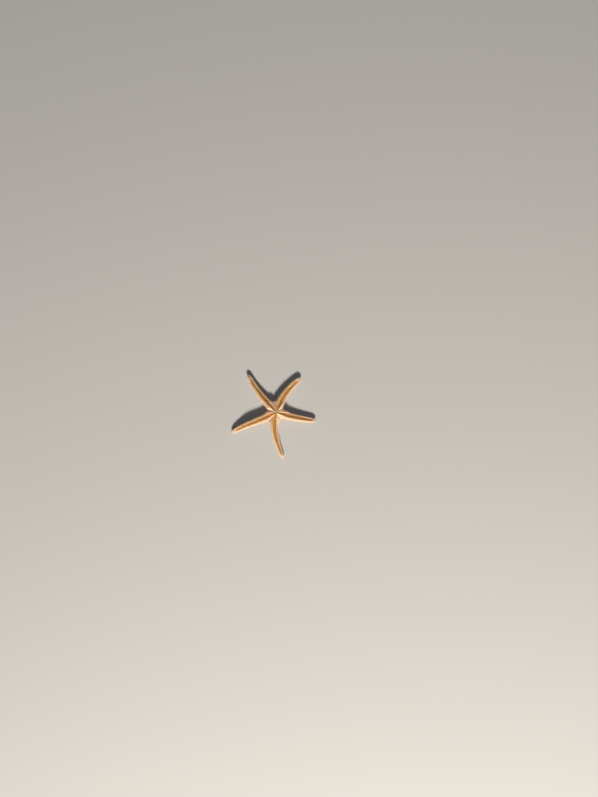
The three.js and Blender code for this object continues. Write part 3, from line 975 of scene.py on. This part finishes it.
def make_eyespot(name, arm):
    """The red eyespot at the arm's tip, on its soft cushion."""
    middle = box_middle("eye_" + name)
    share = 1 - EYE_HEART / arm["length"]
    at = section(arm, np.array(share))
    below = np.append(at["place"], at["middle"])
    growth = unit(middle - below)
    axes = np.stack([*side_axes(growth), growth])
    far = np.linalg.norm(middle - below)
    turn = np.linspace(0, 2 * np.pi, EYE_SIDES, endpoint=False)
    heights = [(radius, rise * far) for radius, rise in EYE_STALK]
    heights += [(radius, far + rise) for radius, rise in EYE_RINGS]
    rings = [below + ring(turn, radius, height) @ axes for radius, height in heights]
    ob = extruded("eyespot_" + name, rings)
    apply_modifier(ob, "SUBSURF", levels=1, render_levels=1)
    points = points_of(ob)
    up = (points - below) @ axes[2]
    set_attribute(ob, "tip", smooth(up, far + EYE_RED[0], far + EYE_RED[1]))
    set_attribute(ob, "band", np.full(len(up), EYE_BAND))
    set_attribute(ob, "share", marks_of(points)["share"])
    ob.data.shade_smooth()
    return ob


sieve_plate = make_sieve_plate()
eyespots = {name: make_eyespot(name, arm) for name, arm in ARMS.items()}

# ---- Shader groups shared by the materials ------------------------------------------------------

MIX_INPUTS, MIX_OUTPUT = (0, 6, 7), 2   # a colour mix's share and its two colours, and its result


class Nodes:
    """A small helper that adds nodes to a tree and joins them."""

    def __init__(self, tree):
        self.tree = tree

    def add(self, kind, **settings):
        node = self.tree.nodes.new(kind)
        for name, value in settings.items():
            setattr(node, name, value)
        return node

    def join(self, source, target):
        self.tree.links.new(source, target)

    def feed(self, sockets, values):
        """Gives each socket its value, or joins it to the output it is given."""
        for socket, value in zip(sockets, values):
            if isinstance(value, bpy.types.NodeSocket):
                self.join(value, socket)
            else:
                socket.default_value = value

    def math(self, operation, *values):
        node = self.add("ShaderNodeMath", operation=operation)
        self.feed(node.inputs, values)
        return node.outputs[0]

    def blend(self, share, first, second, kind="MIX"):
        node = self.add("ShaderNodeMix", data_type="RGBA", blend_type=kind)
        self.feed([node.inputs[number] for number in MIX_INPUTS], (share, first, second))
        return node.outputs[MIX_OUTPUT]

    def ramp(self, share, stops):
        node = self.add("ShaderNodeValToRGB")
        band = node.color_ramp
        while len(band.elements) < len(stops):
            band.elements.new(0.5)
        for element, (place, shade) in zip(band.elements, stops):
            element.position = place
            element.color = shade
        self.join(share, node.inputs[0])
        return node.outputs[0]

    def noise(self, place, scale, detail, roughness=0.55):
        node = self.add("ShaderNodeTexNoise")
        sockets = [node.inputs[name] for name in ("Vector", "Scale", "Detail", "Roughness")]
        self.feed(sockets, (place, scale, detail, roughness))
        return node.outputs["Fac"]

    def spread_over(self, value, low, high, out_low, out_high):
        node = self.add("ShaderNodeMapRange", interpolation_type="SMOOTHSTEP")
        names = ("Value", "From Min", "From Max", "To Min", "To Max")
        sockets = [node.inputs[name] for name in names]
        self.feed(sockets, (value, low, high, out_low, out_high))
        return node.outputs["Result"]

    def mark(self, name):
        return self.add("ShaderNodeAttribute", attribute_name=name).outputs["Fac"]


def new_group(name, inputs, outputs):
    group = bpy.data.node_groups.new(name, "ShaderNodeTree")
    for socket, kind in inputs.items():
        group.interface.new_socket(socket, in_out="INPUT", socket_type="NodeSocket" + kind)
    for socket, kind in outputs.items():
        group.interface.new_socket(socket, in_out="OUTPUT", socket_type="NodeSocket" + kind)
    nodes = Nodes(group)
    return group, nodes, nodes.add("NodeGroupInput").outputs, nodes.add("NodeGroupOutput").inputs


BAND_RANGE = 3.2        # the widest band that the ramp of colours covers


def make_markings():
    """The colour of skin and coat by band across the arm and share along it."""
    group, nodes, given, result = new_group(
        "Markings",
        {"Place": "Vector", "Band": "Float", "Share": "Float"},
        {"Colour": "Color", "Mottle": "Float"},
    )
    broad = nodes.noise(given["Place"], scale=420, detail=4.0)
    fine = nodes.noise(given["Place"], scale=2300, detail=3.0)
    wander = nodes.math("MULTIPLY_ADD", broad, 0.5, -0.25)
    band = nodes.math("ADD", given["Band"], wander)
    across = nodes.math("DIVIDE", band, BAND_RANGE)
    base = nodes.ramp(across, (
        (0.0, colour(200, 136, 58)),
        (0.24, colour(226, 166, 84)),
        (0.32, colour(240, 196, 130)),
        (0.40, colour(244, 216, 176)),
        (0.6, colour(242, 208, 170)),
        (0.74, colour(214, 160, 132)),
        (1.0, colour(150, 98, 88)),
    ))
    toward_tips = nodes.spread_over(given["Share"], 0.6, 0.96, 0.0, 0.75)
    rosy = nodes.blend(toward_tips, base, colour(246, 214, 194))
    mottle = nodes.spread_over(fine, 0.32, 0.68, 0.0, 1.0)
    darker = nodes.blend(1.0, rosy, colour(228, 206, 190), "MULTIPLY")
    nodes.join(nodes.blend(mottle, darker, rosy), result["Colour"])
    nodes.join(mottle, result["Mottle"])
    return group


def make_grain():
    """The fine pebbled relief of the skin and of what grows from it."""
    group, nodes, given, result = new_group(
        "Living grain",
        {"Place": "Vector", "Size": "Float"},
        {"Height": "Float", "Roughness": "Float"},
    )
    pebbles = nodes.add("ShaderNodeTexVoronoi", feature="SMOOTH_F1")
    nodes.join(given["Place"], pebbles.inputs["Vector"])
    nodes.join(given["Size"], pebbles.inputs["Scale"])
    finer = nodes.math("MULTIPLY", given["Size"], 2.4)
    fine = nodes.noise(given["Place"], scale=finer, detail=2.0, roughness=0.5)
    domes = nodes.math("SUBTRACT", 1.0, pebbles.outputs["Distance"])
    nodes.join(nodes.math("MULTIPLY_ADD", fine, 0.5, domes), result["Height"])
    nodes.join(nodes.spread_over(fine, 0.3, 0.7, 0.44, 0.72), result["Roughness"])
    return group


MARKINGS = make_markings()
GRAIN = make_grain()


class Finish:
    """A material with the starfish's markings and grain already joined to its shader."""

    def __init__(self, name, grain_size, relief):
        self.material = bpy.data.materials.new(name)
        self.material.use_nodes = True
        self.nodes = Nodes(self.material.node_tree)
        self.shader = self.material.node_tree.nodes["Principled BSDF"]
        self.place = self.nodes.add("ShaderNodeTexCoord").outputs["Object"]
        markings = self.nodes.add("ShaderNodeGroup", node_tree=MARKINGS)
        self.nodes.join(self.place, markings.inputs["Place"])
        self.nodes.join(self.nodes.mark("band"), markings.inputs["Band"])
        self.nodes.join(self.nodes.mark("share"), markings.inputs["Share"])
        grain = self.nodes.add("ShaderNodeGroup", node_tree=GRAIN)
        self.nodes.join(self.place, grain.inputs["Place"])
        grain.inputs["Size"].default_value = grain_size
        bump = self.nodes.add("ShaderNodeBump")
        bump.inputs["Distance"].default_value = relief * MM
        bump.inputs["Strength"].default_value = 1.0
        self.nodes.join(grain.outputs["Height"], bump.inputs["Height"])
        self.nodes.join(bump.outputs["Normal"], self.shader.inputs["Normal"])
        self.nodes.join(grain.outputs["Roughness"], self.shader.inputs["Roughness"])
        self.marked = markings.outputs["Colour"]

    def paint(self, shade):
        self.nodes.join(shade, self.shader.inputs["Base Color"])

    def set(self, **values):
        for name, value in values.items():
            self.shader.inputs[name.replace("_", " ")].default_value = value

    def put_on(self, ob, slot, *nodes):
        ob.data.materials.clear()
        ob.data.materials.append(self.material)
        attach(ob, "root")
        if nodes:
            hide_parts(*nodes)


FLESH_DEPTH = dict(Subsurface_Radius=(1.0, 0.45, 0.25), Subsurface_Scale=0.0005)

skin_finish = Finish("starfish_skin", grain_size=3200.0, relief=0.08)
nodes = skin_finish.nodes
raised = nodes.math("MULTIPLY", nodes.mark("pad"), 0.45)
skin_finish.paint(nodes.blend(raised, skin_finish.marked, colour(248, 222, 184)))
skin_finish.set(Subsurface_Weight=0.15, **FLESH_DEPTH)

spine_finish = Finish("limy_spines", grain_size=5200.0, relief=0.02)
nodes = spine_finish.nodes
cream = nodes.blend(nodes.mark("tint"), colour(248, 232, 206), colour(238, 210, 174))
patchy = nodes.noise(spine_finish.place, scale=260, detail=2.0)
peachy = nodes.spread_over(patchy, 0.42, 0.66, 0.0, 0.7)
ivory = nodes.blend(peachy, cream, colour(242, 204, 182))
paling = nodes.spread_over(nodes.mark("tip"), 0.1, 0.8, 0.2, 0.88)
spine_finish.paint(nodes.blend(paling, spine_finish.marked, ivory))

foot_finish = Finish("tube_foot_flesh", grain_size=4200.0, relief=0.02)
nodes = foot_finish.nodes
stalk = nodes.ramp(nodes.mark("tip"), (
    (0.0, colour(196, 124, 42)),
    (0.5, colour(236, 172, 72)),
    (0.84, colour(244, 188, 94)),
    (0.93, colour(248, 210, 132)),
    (1.0, colour(218, 158, 76)),
))
browner = nodes.blend(1.0, stalk, colour(200, 162, 132), "MULTIPLY")
some = nodes.spread_over(nodes.mark("tint"), 0.55, 1.0, 0.0, 0.8)
mottled = nodes.blend(some, stalk, browner)
near_tip = nodes.spread_over(nodes.mark("share"), 0.78, 0.97, 0.0, 0.8)
foot_finish.paint(nodes.blend(near_tip, mottled, colour(246, 216, 178)))
foot_finish.set(Subsurface_Weight=0.3, Coat_Weight=0.25, Coat_Roughness=0.18, **FLESH_DEPTH)

gill_finish = Finish("gill_flesh", grain_size=5200.0, relief=0.01)
nodes = gill_finish.nodes
clear_flesh = nodes.spread_over(nodes.mark("tip"), 0.1, 0.9, 0.15, 0.75)
gill_finish.paint(nodes.blend(clear_flesh, gill_finish.marked, colour(226, 172, 148)))
gill_finish.set(Subsurface_Weight=0.35, **FLESH_DEPTH)

sieve_finish = Finish("sieve_plate_lime", grain_size=3600.0, relief=0.02)
nodes = sieve_finish.nodes
sieve_finish.paint(nodes.ramp(nodes.mark("tip"), (
    (0.0, colour(150, 84, 48)),
    (0.62, colour(196, 112, 54)),
    (0.95, colour(244, 184, 112)),
)))
sieve_finish.set(Subsurface_Weight=0.1, **FLESH_DEPTH)

eye_finish = Finish("eyespot_pigment", grain_size=6800.0, relief=0.04)
nodes = eye_finish.nodes
patchy = nodes.noise(eye_finish.place, scale=5200, detail=2.0)
red = nodes.blend(patchy, colour(92, 16, 10), colour(168, 44, 26))
eye_finish.paint(nodes.blend(nodes.mark("tip"), eye_finish.marked, red))
eye_finish.set(Subsurface_Weight=0.15, Coat_Weight=0.4, Coat_Roughness=0.12, **FLESH_DEPTH)

flesh_nodes = ["disc", "mouth"] + ["arm_" + name for name in ARMS]
skin_finish.put_on(skin, "skin", *flesh_nodes)
for piece in (groove_spines, jaw_spines, margin_spines, back_spines, pincers):
    spine_finish.put_on(piece, "spines")
foot_finish.put_on(tube_feet, "tube_feet")
gill_finish.put_on(gills, "skin")
sieve_finish.put_on(sieve_plate, "madreporite", "madreporite")
for name, piece in eyespots.items():
    eye_finish.put_on(piece, "eyespot", "eye_" + name)

# ---- Floor, light and camera --------------------------------------------------------------------

FLOOR_SIZE = 6.0
CAMERA_HEIGHT = 0.604
CAMERA_X, CAMERA_Y = 0.0225, 0.013
LENS = 27.1
SUN_ELEVATION, SUN_TURN = 35, 8     # degrees; the turn is from -Y towards +X
SUN_DISTANCE, SUN_SIZE, SUN_POWER = 2.2, 0.34, 90
ROOM_LIGHT, ROOM_SEEN = 0.12, 0.85  # what the room gives as light, and how bright it looks

deselect()
bpy.ops.mesh.primitive_plane_add(size=FLOOR_SIZE, location=(0, 0, 0))
floor = bpy.context.object
floor.name = "floor"
floor_material = bpy.data.materials.new("pale_floor")
floor_material.use_nodes = True
floor_shader = floor_material.node_tree.nodes["Principled BSDF"]
floor_shader.inputs["Base Color"].default_value = colour(178, 175, 170)
floor_shader.inputs["Roughness"].default_value = 0.9
floor.data.materials.append(floor_material)


def add_light(name, elevation, turn, distance, size, power, shade):
    """A square lamp that looks at the origin, turned from -Y towards +X."""
    light = bpy.data.lights.new(name, "AREA")
    light.size = size
    light.energy = power
    light.color = shade
    ob = bpy.data.objects.new(name, light)
    bpy.context.collection.objects.link(ob)
    elevation, turn = math.radians(elevation), math.radians(turn)
    flat = math.cos(elevation)
    towards = Vector((math.sin(turn) * flat, -math.cos(turn) * flat, math.sin(elevation)))
    ob.location = towards * distance
    ob.rotation_euler = (-towards).to_track_quat("-Z", "Y").to_euler()


add_light("key", SUN_ELEVATION, SUN_TURN, SUN_DISTANCE, SUN_SIZE, SUN_POWER, (1.0, 0.96, 0.9))
add_light("fill", elevation=70, turn=180, distance=1.4, size=1.2, power=1.5,
          shade=(0.86, 0.92, 1.0))

world = bpy.data.worlds.new("soft_room")
world.use_nodes = True
room = world.node_tree.nodes["Background"]
room.inputs["Color"].default_value = (0.75, 0.82, 0.95, 1)
sight = world.node_tree.nodes.new("ShaderNodeLightPath")
strength = world.node_tree.nodes.new("ShaderNodeMath")
strength.operation = "MULTIPLY_ADD"
strength.inputs[1].default_value = ROOM_SEEN - ROOM_LIGHT
strength.inputs[2].default_value = ROOM_LIGHT
world.node_tree.links.new(sight.outputs["Is Camera Ray"], strength.inputs[0])
world.node_tree.links.new(strength.outputs[0], room.inputs["Strength"])
bpy.context.scene.world = world

camera_data = bpy.data.cameras.new("camera")
camera_data.lens = LENS
camera_data.clip_start = 0.01
camera = bpy.data.objects.new("camera", camera_data)
camera.location = (CAMERA_X, CAMERA_Y, CAMERA_HEIGHT)
bpy.context.collection.objects.link(camera)
bpy.context.scene.camera = camera
bpy.context.scene.view_settings.view_transform = "Standard"
